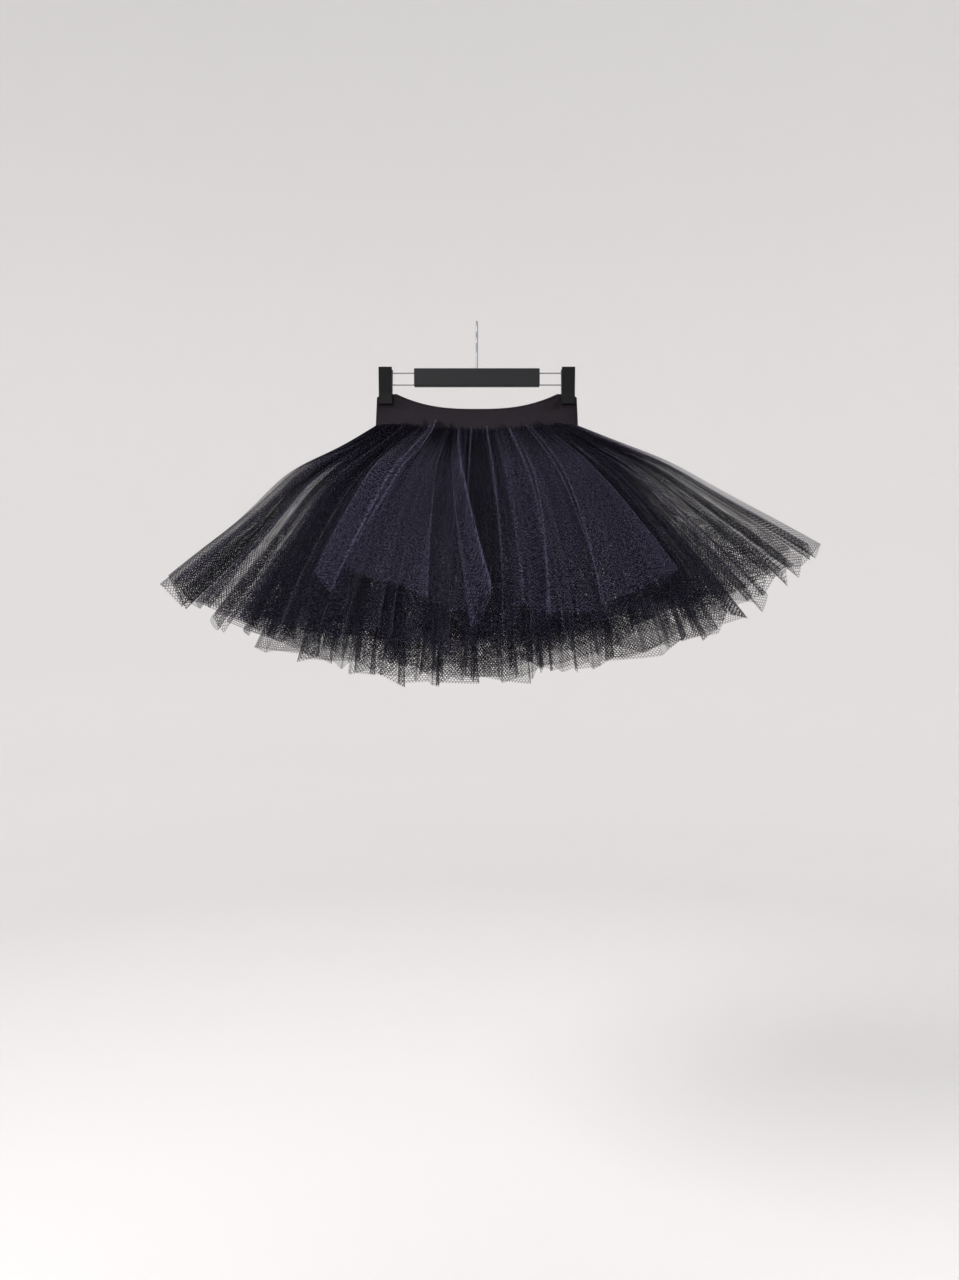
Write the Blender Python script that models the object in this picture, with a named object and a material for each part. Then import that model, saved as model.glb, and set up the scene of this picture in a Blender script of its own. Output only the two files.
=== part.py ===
"""A short black tulle skirt, held at the waist by the two clips of a skirt hanger.

Five gathered layers of net are sewn under a wide stretch waistband. The origin is the point
inside the hook that bears on a rail. X runs along the hanger, -Y is the front and Z is up.
All sizes are in metres and all angles in degrees, unless a name says otherwise.
"""

import math
from typing import NamedTuple

import bmesh
import bpy
import numpy as np

# The hanger
WIRE_RADIUS = 0.0017
HOOK_INNER_RADIUS = 0.018
HOOK_SWEEP_PAST_TOP = 112
HOOK_ROUND_START = -18
HOOK_NECK_HEIGHT = 0.020
HOOK_NECK_BEND = 0.010
HOOK_NECK_LEAN = 50
BAR_WIDTH = 0.190
BAR_DEPTH = 0.010
BAR_HEIGHT = 0.027
BAR_TOP = -0.0685
BAR_EDGE = 0.0012
LOOP_WIRE_RADIUS = 0.001
LOOP_UPPER = -0.0751
LOOP_LOWER = -0.0929
LOOP_CORNER = 0.004
LOOP_END = 0.1435
SEAT_GAP = 0.0003

# The clips, each two plates that pinch the band
CLIP_CENTRE = 0.138
CLIP_WIDTH = 0.020
CLIP_TOP = -0.0680
CLIP_BOTTOM = -0.1230
CLIP_PAD_TOP = -0.1060
CLIP_PLATE = 0.0030
CLIP_TOP_PLATE = 0.0024
CLIP_CHAMFER = 0.0010
CLIP_SPREAD = 0.0078
EAR_THICKNESS = 0.0022
EAR_TOP = -0.0700
EAR_BOTTOM = -0.0990
EAR_BACK = 0.0045
BORE_PAST_EAR = 0.0015

# The waistband, a loop of stretch knit
BAND_WALL = 0.0016
BAND_HALF_WIDTH = 0.1505
BAND_PINCH = 0.0012
BAND_TOP_BOW = 0.0090
BAND_TOP_AT_CLIP = -0.1072
BAND_TOP_SAG = 0.0250
BAND_SAG_POWER = 2.6
BAND_CORNER_DROP = 0.0050
BAND_FREE_HALF_WIDTH = 0.1215
BAND_OPENS_WITHIN = 0.090
# Shares of the way from one end of the flat band to the other
BAND_END_COLUMNS = (0.0, 0.0042, 0.018, 0.042, 0.094)
BAND_MIDDLE_FROM = 0.135
BAND_MIDDLE_COLUMNS = 8
BAND_ROWS = 6
# A row of points lies where the pinched stretch ends, just under the clips
BAND_FLAT_SHARE = 2 / (BAND_ROWS - 1)

# How far a clip's pad is from the hanger's middle plane, just clear of the pinched band
CLIP_PAD_INNER = BAND_PINCH + BAND_WALL / 2 + SEAT_GAP

# The seam where the band meets the net
SEAM_HALF_DEPTH = 0.040
SEAM_SIDE = -0.1600
SEAM_FRONT_DROP = 0.0110
SEAM_STITCH_GAP = 0.0003

# The net
NET_WALL = 0.0010
NET_GAP = 0.0006
NET_ROWS = 4
POINTS_IN_FOLD = 4
ROW_POWER = 1.15
FOLD_GROWTH = 0.9
FLUTE_GROWTH = 1.3


class Layer(NamedTuple):
    """One loop of net: its folds, its cut, and how far it leans from the vertical."""

    name: str
    folds: int
    cut_length: float
    fold_depth: float
    lean_right: float
    lean_left: float
    lean_front: float
    lean_back: float
    turn: float


# From the outermost layer to the innermost
LAYERS = (
    Layer("tulle_outer", 38, 0.398, 0.0145, 62, 53, 45, 41, 0.00),
    Layer("tulle_second", 34, 0.394, 0.0130, 56, 47, 36, 33, 0.31),
    Layer("tulle_third", 30, 0.390, 0.0120, 49, 41, 27, 25, 0.57),
    Layer("tulle_fourth", 28, 0.386, 0.0110, 42, 35, 18, 17, 0.83),
    Layer("tulle_inner", 26, 0.380, 0.0100, 35, 29, 9, 9, 0.17),
)
NET_BULGE = 5


class Wander(NamedTuple):
    """One wave of the unevenness in how wide and how deep the folds are."""

    cycles: int
    width_share: float
    depth_share: float
    turn: float


WANDERS = (
    Wander(3, 0.20, 0.22, 0.10),
    Wander(7, 0.20, 0.18, 0.45),
    Wander(12, 0.15, 0.12, 0.72),
)


class Flute(NamedTuple):
    """A large fold of the outer layer: place and width as shares of the loop, reach at the hem."""

    place: float
    width: float
    reach: float
    smooths: float


# Place 0 is the right end, 0.25 the front, 0.5 the left end and 0.75 the back
OUTER_FLUTES = (
    Flute(0.292, 0.0200, 0.034, 0.85),
    Flute(0.2545, 0.0065, -0.024, 0.30),
    Flute(0.2450, 0.0055, 0.014, 0.30),
    Flute(0.2350, 0.0060, -0.020, 0.30),
    Flute(0.1980, 0.0210, 0.016, 0.80),
    Flute(0.0150, 0.0120, 0.012, 0.40),
    Flute(0.4700, 0.0140, 0.014, 0.50),
    Flute(0.6600, 0.0200, 0.026, 0.75),
    Flute(0.7050, 0.0070, -0.020, 0.30),
    Flute(0.8200, 0.0220, 0.022, 0.75),
)

QUARTER_SAMPLES = 240
PHASE_SAMPLES = 8001


def even_oval(right, left, front, back, place):
    """Points of an oval at the given places, each quarter walked at an even pace. Returns x and y."""
    angle = np.linspace(0.0, math.pi / 2, QUARTER_SAMPLES)
    x = np.zeros(len(place))
    y = np.zeros(len(place))
    quarters = ((right, front, 1, -1), (left, front, -1, -1), (left, back, -1, 1), (right, back, 1, 1))
    for number, (half_x, half_y, sign_x, sign_y) in enumerate(quarters):
        steps = np.hypot(half_x * np.diff(np.cos(angle)), half_y * np.diff(np.sin(angle)))
        walked = np.concatenate([[0.0], np.cumsum(steps)])
        share = (place * 4) % 4 - number
        inside = (share >= 0) & (share < 1)
        from_side = share if number % 2 == 0 else 1 - share
        turned = np.interp(from_side * walked[-1], walked, angle)
        x = np.where(inside, sign_x * half_x * np.cos(turned), x)
        y = np.where(inside, sign_y * half_y * np.sin(turned), y)
    return x, y


def seam_height(place):
    """The height of the gathered seam, which sags a little at the front and the back."""
    return SEAM_SIDE - SEAM_FRONT_DROP * np.sin(2 * math.pi * place) ** 2


def mean_start_lean(place):
    """How far the middle of the stack of layers leans where it leaves the seam."""
    middle = LAYERS[len(LAYERS) // 2]
    side = (middle.lean_right + middle.lean_left) / 2 + NET_BULGE
    front = (middle.lean_front + middle.lean_back) / 2 + NET_BULGE
    return np.radians(front + (side - front) * np.cos(2 * math.pi * place) ** 2)


def layer_start(layer_number, place):
    """Where a layer leaves the seam. The layers are stacked across the way that they leave it."""
    x, y = even_oval(BAND_HALF_WIDTH, BAND_HALF_WIDTH, SEAM_HALF_DEPTH, SEAM_HALF_DEPTH, place)
    outward = np.stack([x / BAND_HALF_WIDTH**2, y / SEAM_HALF_DEPTH**2])
    outward /= np.linalg.norm(outward, axis=0)
    stacked = (len(LAYERS) // 2 - layer_number) * (NET_WALL + NET_GAP)
    lean = mean_start_lean(place)
    return np.stack(
        [
            x + outward[0] * stacked * np.cos(lean),
            y + outward[1] * stacked * np.cos(lean),
            seam_height(place) + stacked * np.sin(lean),
        ],
        axis=-1,
    )


def net_surface(layer_number, place, down):
    """The smooth middle surface of a layer, each line down it an arc of the layer's cut length."""
    layer = LAYERS[layer_number]
    bulge = math.radians(NET_BULGE)
    chord = layer.cut_length * math.sin(bulge) / bulge
    start = layer_start(layer_number, place)
    side_leans = (layer.lean_right, layer.lean_left)
    face_leans = (layer.lean_front, layer.lean_back)
    side_reach = [BAND_HALF_WIDTH + chord * math.sin(math.radians(a)) for a in side_leans]
    face_reach = [SEAM_HALF_DEPTH + chord * math.sin(math.radians(a)) for a in face_leans]
    hem_x, hem_y = even_oval(*side_reach, *face_reach, place)
    run_x = hem_x - start[:, 0]
    run_y = hem_y - start[:, 1]
    run = np.hypot(run_x, run_y)
    lean = np.arcsin(np.minimum(run / chord, 1.0))
    # An arc's chord from its start to any point leans by the mean of the two ends of that stretch
    part_bulge = bulge * down
    # numpy's sinc is sin(pi x) / (pi x), which gives an arc's chord as a share of its length
    part_chord = layer.cut_length * down * np.sinc(part_bulge / math.pi)
    part_lean = lean + bulge - part_bulge
    out = part_chord * np.sin(part_lean)
    return np.stack(
        [
            start[:, 0] + out * run_x / run,
            start[:, 1] + out * run_y / run,
            start[:, 2] - part_chord * np.cos(part_lean),
        ],
        axis=-1,
    )


def fold_phase(layer, place):
    """How many folds lie before a place, in turns, so that some folds are wider than others."""
    phase = layer.folds * place
    for wander in WANDERS:
        reach = wander.width_share * layer.folds / (2 * math.pi * wander.cycles)
        phase = phase + reach * np.sin(2 * math.pi * (wander.cycles * place + wander.turn + layer.turn))
    return phase


def fold_places(layer):
    """Evenly spaced steps of the fold phase, as places on the loop, so that each crest gets a point."""
    fine = np.linspace(0.0, 1.0, PHASE_SAMPLES)
    phase = fold_phase(layer, fine)
    steps = np.arange(layer.folds * POINTS_IN_FOLD) / POINTS_IN_FOLD
    return np.interp(phase[0] + steps, phase, fine)


def fold_depth(layer, place, down):
    """How far a fold's crest stands from the smooth surface."""
    uneven = 1.0
    for wander in WANDERS:
        uneven = uneven + wander.depth_share * np.cos(
            2 * math.pi * ((wander.cycles + 1) * place + 2 * wander.turn + layer.turn)
        )
    return layer.fold_depth * uneven * down**FOLD_GROWTH


def flute_reach(place, down):
    """How far the outer layer's large folds move it, and how much they smooth its small ones."""
    reach = np.zeros_like(place)
    calm = np.zeros_like(place)
    for flute in OUTER_FLUTES:
        away = (place - flute.place + 0.5) % 1 - 0.5
        swell = np.exp(-((away / flute.width) ** 2))
        reach = reach + flute.reach * swell
        calm = np.maximum(calm, flute.smooths * swell)
    return reach * down**FLUTE_GROWTH, calm


def layer_points(layer_number, place, down):
    """The middle of the net's wall at each place round the loop and each share of the way down."""
    layer = LAYERS[layer_number]
    step = 1e-4
    here = net_surface(layer_number, place, down)
    along = net_surface(layer_number, (place + step) % 1, down) - here
    below = net_surface(layer_number, place, np.minimum(down + step, 1 + step)) - here
    normal = np.cross(below, along)
    normal /= np.maximum(np.linalg.norm(normal, axis=1, keepdims=True), 1e-12)
    depth = fold_depth(layer, place, down)
    moved = np.zeros_like(place)
    if layer_number == 0:
        moved, calm = flute_reach(place, down)
        depth = depth * (1 - calm)
    moved = moved + depth * np.sin(2 * math.pi * fold_phase(layer, place))
    return here + normal * moved[:, None]


def link(name, mesh, material):
    """Puts a mesh in the scene under that name, with that material, on the hanger's empty."""
    placed = bpy.data.objects.new(name, mesh)
    placed.data.materials.append(material)
    bpy.context.scene.collection.objects.link(placed)
    placed.parent = bpy.data.objects["hanging_point"]
    return placed


def make_material(name, colour, roughness, metallic=0.0):
    """A plain Principled material."""
    made = bpy.data.materials.new(name)
    made.use_nodes = True
    shader = made.node_tree.nodes["Principled BSDF"]
    shader.inputs["Base Color"].default_value = (*colour, 1.0)
    shader.inputs["Roughness"].default_value = roughness
    shader.inputs["Metallic"].default_value = metallic
    return made


def cloth_loop(name, places, downs, shape, wall, material):
    """A closed loop of cloth: a grid bent round by shape(place, down), then given its wall."""
    around = len(places)
    cloth = bmesh.new()
    bmesh.ops.create_grid(cloth, x_segments=around, y_segments=len(downs) - 1, size=1)
    corners = np.array([v.co[:] for v in cloth.verts])
    column = np.rint((corners[:, 0] + 1) / 2 * around).astype(int) % around
    row = np.rint((corners[:, 1] + 1) / 2 * (len(downs) - 1)).astype(int)
    points = shape(np.asarray(places)[column], np.asarray(downs)[row])
    for vertex, point in zip(cloth.verts, points):
        vertex.co = point
    bmesh.ops.remove_doubles(cloth, verts=cloth.verts, dist=1e-6)
    bmesh.ops.recalc_face_normals(cloth, faces=cloth.faces)
    mesh = bpy.data.meshes.new(name)
    cloth.to_mesh(mesh)
    cloth.free()
    mesh.shade_smooth()
    placed = link(name, mesh, material)
    thickness = placed.modifiers.new("wall", "SOLIDIFY")
    thickness.thickness = wall
    thickness.offset = 0
    thickness.use_even_offset = True
    return placed


def band_shape(place, down):
    """The middle of the band's wall, pinched flat under the clips and open between them."""
    angle_place = place % 1
    front = angle_place < 0.5
    across = np.where(front, angle_place, 1 - angle_place) * 2
    top_x = BAND_HALF_WIDTH * (1 - 2 * across)
    from_end = BAND_HALF_WIDTH - np.abs(top_x)
    free = np.clip(np.abs(top_x) / BAND_FREE_HALF_WIDTH, 0, 1)
    pinched = BAND_PINCH * np.sqrt(np.clip(1 - (1 - from_end / BAND_PINCH).clip(0, 1) ** 2, 0, 1))
    side = np.where(front, -1, 1)
    top_y = side * (pinched + BAND_TOP_BOW * (1 - free**2))
    corner = np.clip(1 - from_end / (BAND_HALF_WIDTH - CLIP_CENTRE), 0, 1)
    top_z = BAND_TOP_AT_CLIP - BAND_TOP_SAG * (1 - free**BAND_SAG_POWER) - BAND_CORNER_DROP * corner**2
    bottom_x, bottom_y, outer_net_z = layer_start(0, angle_place).T
    bottom_z = outer_net_z + NET_WALL / 2 + SEAM_STITCH_GAP
    turning_flat = BAND_FREE_HALF_WIDTH - BAND_OPENS_WITHIN
    near_clip = np.clip((np.abs(top_x) - BAND_OPENS_WITHIN) / turning_flat, 0, 1)
    opened_late = np.clip((down - BAND_FLAT_SHARE) / (1 - BAND_FLAT_SHARE), 0, 1)
    opened = down + (opened_late - down) * near_clip
    return np.stack(
        [
            top_x + (bottom_x - top_x) * down,
            top_y + (bottom_y - top_y) * opened,
            top_z + (bottom_z - top_z) * down,
        ],
        axis=-1,
    )


def make_band(material):
    """The waistband, with points close together where it folds back at its two ends."""
    half = list(BAND_END_COLUMNS)
    half += list(np.linspace(BAND_MIDDLE_FROM, 0.5, BAND_MIDDLE_COLUMNS))
    front = half + [1 - share for share in reversed(half[:-1])]
    places = [share / 2 for share in front] + [0.5 + share / 2 for share in front[1:-1]]
    downs = np.linspace(0.0, 1.0, BAND_ROWS)
    return cloth_loop("waistband", places, downs, band_shape, BAND_WALL, material)


def make_layer(layer_number, material):
    """One gathered layer of net."""
    layer = LAYERS[layer_number]
    downs = np.linspace(0.0, 1.0, NET_ROWS + 1) ** ROW_POWER

    def shape(place, down):
        return layer_points(layer_number, place, down)

    return cloth_loop(layer.name, fold_places(layer), downs, shape, NET_WALL, material)


def make_bar(material):
    """The moulded bar in the middle of the hanger."""
    bar = bmesh.new()
    bmesh.ops.create_cube(bar, size=1)
    bmesh.ops.scale(bar, verts=bar.verts, vec=(BAR_WIDTH, BAR_DEPTH, BAR_HEIGHT))
    bmesh.ops.bevel(
        bar, geom=bar.edges[:], offset=BAR_EDGE, segments=2, profile=0.5, affect="EDGES", material=-1
    )
    mesh = bpy.data.meshes.new("hanger_bar")
    bar.to_mesh(mesh)
    bar.free()
    placed = link("hanger_bar", mesh, material)
    placed.location = (0, 0, BAR_TOP - BAR_HEIGHT / 2)
    return placed


def wire(name, points, radius, material):
    """A round wire along a line of points, with closed ends."""
    curve = bpy.data.curves.new(name, "CURVE")
    curve.dimensions = "3D"
    curve.bevel_depth = radius
    curve.bevel_resolution = 2
    curve.use_fill_caps = True
    spline = curve.splines.new("POLY")
    spline.points.add(len(points) - 1)
    for point, place in zip(spline.points, points):
        point.co = (*place, 1)
    return link(name, curve, material)


def arc(centre_a, centre_b, radius, first, last, steps):
    """Points of an arc in a plane, by angle in degrees from the first axis."""
    angles = np.radians(np.linspace(first, last, steps))
    return [(centre_a + radius * math.cos(a), centre_b + radius * math.sin(a)) for a in angles]


def make_hook(material):
    """The hook, whose neck swings back from the bar's middle and whose round part passes over a rail."""
    radius = HOOK_INNER_RADIUS + WIRE_RADIUS
    middle = -HOOK_INNER_RADIUS
    foot = BAR_TOP + SEAT_GAP
    neck_top = foot + HOOK_NECK_HEIGHT
    # A small arc turns the neck back, and a straight stretch carries it on to the round part
    neck = [(0.0, foot), (0.0, (foot + neck_top) / 2)]
    neck += arc(HOOK_NECK_BEND, neck_top, HOOK_NECK_BEND, 180, 180 - HOOK_NECK_LEAN, 6)
    round_part = arc(0.0, middle, radius, HOOK_ROUND_START, 90 + HOOK_SWEEP_PAST_TOP, 22)
    return wire("hanger_hook", [(0.0, y, z) for y, z in neck + round_part], WIRE_RADIUS, material)


def make_wire_loop(side_name, side, material):
    """The wire loop that carries one clip, out from the bar's end and back."""
    start = BAR_WIDTH / 2 + SEAT_GAP
    turn = LOOP_END - LOOP_CORNER
    upper_bend = arc(turn, LOOP_UPPER - LOOP_CORNER, LOOP_CORNER, 90, 0, 5)
    lower_bend = arc(turn, LOOP_LOWER + LOOP_CORNER, LOOP_CORNER, 0, -90, 5)
    line = [(start, LOOP_UPPER)] + upper_bend + lower_bend + [(start, LOOP_LOWER)]
    points = [(side * x, 0.0, z) for x, z in line]
    return wire(f"hanger_wire_{side_name}", points, LOOP_WIRE_RADIUS, material)


def block(name, low, high):
    """A plain helper block between two corners, which is not part of the object."""
    shape = bmesh.new()
    bmesh.ops.create_cube(shape, size=1)
    bmesh.ops.scale(shape, verts=shape.verts, vec=[b - a for a, b in zip(low, high)])
    bmesh.ops.translate(shape, verts=shape.verts, vec=[(a + b) / 2 for a, b in zip(low, high)])
    mesh = bpy.data.meshes.new(name)
    shape.to_mesh(mesh)
    shape.free()
    return helper(name, mesh)


def helper(name, mesh):
    """Links a mesh that only cuts or joins, hidden from renders."""
    placed = bpy.data.objects.new(name, mesh)
    bpy.context.scene.collection.objects.link(placed)
    placed.hide_render = True
    placed.display_type = "WIRE"
    return placed


def rod(name, low_x, high_x, height, radius):
    """A round helper along X, for cutting a wire's hole."""
    shape = bmesh.new()
    bmesh.ops.create_cone(
        shape, cap_ends=True, segments=12, radius1=radius, radius2=radius, depth=high_x - low_x
    )
    mesh = bpy.data.meshes.new(name)
    shape.to_mesh(mesh)
    shape.free()
    placed = helper(name, mesh)
    placed.rotation_euler = (0, math.pi / 2, 0)
    placed.location = ((low_x + high_x) / 2, 0, height)
    return placed


def boolean(target, other, operation):
    """Adds one Boolean step to a piece."""
    step = target.modifiers.new(other.name, "BOOLEAN")
    step.operation = operation
    step.object = other
    step.solver = "EXACT"


def make_clip_plate(name, side, face, material):
    """One plate of a clip. face is -1 at the front and 1 at the back."""
    inner_low = CLIP_PAD_INNER
    profile = [
        (inner_low, CLIP_BOTTOM),
        (inner_low, CLIP_PAD_TOP),
        (CLIP_SPREAD, CLIP_TOP),
        (CLIP_SPREAD + CLIP_TOP_PLATE, CLIP_TOP),
        (inner_low + CLIP_PLATE, CLIP_PAD_TOP),
        (inner_low + CLIP_PLATE, CLIP_BOTTOM + CLIP_CHAMFER),
        (inner_low + CLIP_PLATE - CLIP_CHAMFER, CLIP_BOTTOM),
    ]
    plate = bmesh.new()
    left = side * CLIP_CENTRE - CLIP_WIDTH / 2
    outline = [plate.verts.new((left, face * y, z)) for y, z in profile]
    end = plate.faces.new(outline)
    pulled = bmesh.ops.extrude_face_region(plate, geom=[end])
    moved = [v for v in pulled["geom"] if isinstance(v, bmesh.types.BMVert)]
    bmesh.ops.translate(plate, verts=moved, vec=(CLIP_WIDTH, 0, 0))
    bmesh.ops.recalc_face_normals(plate, faces=plate.faces)
    mesh = bpy.data.meshes.new(name)
    plate.to_mesh(mesh)
    plate.free()
    return link(name, mesh, material)


def plate_inner(height):
    """How far a clip's inner face is from the hanger's middle plane at a height above the pad."""
    share = (height - CLIP_PAD_TOP) / (CLIP_TOP - CLIP_PAD_TOP)
    return CLIP_PAD_INNER + (CLIP_SPREAD - CLIP_PAD_INNER) * share


def make_clip(side_name, side, material):
    """A clip: the front plate with its two ears, bored for the wires, and the back plate."""
    front = make_clip_plate(f"clip_{side_name}_front", side, -1, material)
    make_clip_plate(f"clip_{side_name}_back", side, 1, material)
    back_edge = plate_inner(EAR_BOTTOM) - SEAT_GAP
    for ear, direction in (("inner", -1), ("outer", 1)):
        edge = side * CLIP_CENTRE + side * direction * CLIP_WIDTH / 2
        other = edge - side * direction * EAR_THICKNESS
        low_x, high_x = sorted((edge, other))
        into_plate = -plate_inner(EAR_BOTTOM) - CLIP_PLATE / 2
        low = (low_x, into_plate, EAR_BOTTOM)
        high = (high_x, min(back_edge, EAR_BACK), EAR_TOP)
        boolean(front, block(f"{side_name}_{ear}_ear", low, high), "UNION")
    inner_edge = CLIP_CENTRE - CLIP_WIDTH / 2
    bore_start = inner_edge - BORE_PAST_EAR
    bore_end = inner_edge + EAR_THICKNESS + BORE_PAST_EAR
    bore_ends = sorted((side * bore_start, side * bore_end))
    for level, height in (("upper", LOOP_UPPER), ("lower", LOOP_LOWER)):
        cutter = rod(f"{side_name}_{level}_bore", *bore_ends, height, LOOP_WIRE_RADIUS + SEAT_GAP)
        boolean(front, cutter, "DIFFERENCE")


def clear_scene():
    """Empties the startup scene."""
    for old in list(bpy.data.objects):
        bpy.data.objects.remove(old)


def main():
    """Builds the hanger, then the skirt that hangs from it."""
    clear_scene()
    anchor = bpy.data.objects.new("hanging_point", None)
    bpy.context.scene.collection.objects.link(anchor)
    steel = make_material("bright steel wire", (0.62, 0.62, 0.62), 0.25, 1.0)
    plastic = make_material("moulded black plastic", (0.030, 0.030, 0.031), 0.45)
    knit = make_material("stretch knit", (0.022, 0.020, 0.024), 0.85)
    net = make_material("black nylon net", (0.018, 0.017, 0.024), 0.7)
    make_hook(steel)
    make_bar(plastic)
    for side_name, side in (("left", -1), ("right", 1)):
        make_wire_loop(side_name, side, steel)
        make_clip(side_name, side, plastic)
    make_band(knit)
    for layer_number in range(len(LAYERS)):
        make_layer(layer_number, net)


main()
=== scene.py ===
"""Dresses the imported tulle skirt: net, knit, plastic and steel, with a plain stage and camera.

Sizes are in metres and angles in degrees unless a name says otherwise. X runs along the hanger,
-Y is the front, Z is up, and the origin is the point inside the hook that bears on a rail.
"""

import functools
import math
from typing import NamedTuple

import bmesh
import bpy
import numpy as np
from bpy.props import FloatProperty, FloatVectorProperty, IntProperty, PointerProperty
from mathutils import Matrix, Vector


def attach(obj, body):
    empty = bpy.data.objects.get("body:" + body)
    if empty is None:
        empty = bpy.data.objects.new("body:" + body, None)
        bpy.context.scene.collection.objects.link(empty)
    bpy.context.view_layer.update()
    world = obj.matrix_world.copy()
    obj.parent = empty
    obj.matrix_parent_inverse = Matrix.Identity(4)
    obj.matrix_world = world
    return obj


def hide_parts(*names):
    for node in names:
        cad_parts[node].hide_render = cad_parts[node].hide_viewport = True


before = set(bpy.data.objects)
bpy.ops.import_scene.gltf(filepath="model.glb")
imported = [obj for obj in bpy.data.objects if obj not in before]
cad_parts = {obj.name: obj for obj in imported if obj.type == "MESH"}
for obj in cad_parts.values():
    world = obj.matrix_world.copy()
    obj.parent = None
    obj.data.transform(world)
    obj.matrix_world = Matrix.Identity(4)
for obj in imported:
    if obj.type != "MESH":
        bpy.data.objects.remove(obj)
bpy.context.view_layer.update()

bl_info = {
    "name": "Tulle skirt",
    "version": (1, 0, 0),
    "blender": (4, 5, 0),
    "location": "View3D > Sidebar > Skirt",
    "description": "Dresses a tulle skirt that hangs from a clip hanger",
    "category": "Object",
}


def linear(hex_colour):
    """An sRGB hex colour as linear red, green, blue and a full alpha."""
    shares = [int(hex_colour[i : i + 2], 16) / 255 for i in (1, 3, 5)]
    return tuple(s / 12.92 if s <= 0.04045 else ((s + 0.055) / 1.055) ** 2.4 for s in shares) + (1.0,)


# The seam where the band meets the net, as the solids have it
BAND_HALF_WIDTH = 0.1505
SEAM_HALF_DEPTH = 0.040
SEAM_SIDE = -0.1600
SEAM_FRONT_DROP = 0.0110
NET_STEP = 0.0016
NET_BULGE = 5


class Layer(NamedTuple):
    """One loop of net: its folds and cut, how far it leans from the vertical, and the shade painted into
    its colour.

    The leans are in degrees at the right, left, front and back. stack is the sheet's place in the seam,
    counted in steps. softness rounds its folds, tuck is how far they double back, uneven how much its
    hem varies, shade how much painted shade darkens it as lying under the others, and draw the number
    that its chances start from.
    """

    name: str
    has_solid: bool
    folds: int
    cut_length: float
    fold_depth: float
    lean_right: float
    lean_left: float
    lean_front: float
    lean_back: float
    stack: float
    softness: float
    tuck: float
    uneven: float
    shade: float
    draw: int


# From the outermost sheet to the innermost
# The shade column is painted shade: it darkens the sheets that lie under others
LAYERS = (
    Layer("outer", True, 38, 0.398, 0.0140, 62.7, 53, 45, 41, 2.0, 0.0035, 1.2, 0.010, 0.0, 11),
    Layer("second", True, 34, 0.394, 0.0130, 57, 47, 36, 33, 1.0, 0.0040, 1.4, 0.018, 0.50, 23),
    Layer("third", True, 34, 0.390, 0.0130, 49, 41, 27, 25, 0.0, 0.0035, 1.1, 0.022, 0.68, 37),
    Layer("middle", False, 36, 0.350, 0.0110, 44, 37, 22, 21, -0.5, 0.0035, 1.1, 0.024, 0.76, 41),
    Layer("fourth", True, 36, 0.386, 0.0120, 42, 35, 18, 17, -1.0, 0.0030, 1.0, 0.024, 0.74, 53),
    Layer("inner", True, 34, 0.380, 0.0110, 35, 29, 9, 9, -2.0, 0.0030, 1.0, 0.022, 0.70, 67),
)
# The right, left, front and back leans that the seam's stacking follows
MIDDLE_LEANS = (49, 41, 27, 25)


class Turn(NamedTuple):
    """A line down a sheet where its cloth turns.

    seam and hem are its places round the sheet there, outward is how far it stands off the smooth
    surface at the hem, and longer is what its cut gains or loses there.
    """

    seam: float
    hem: float
    outward: float
    longer: float


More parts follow.
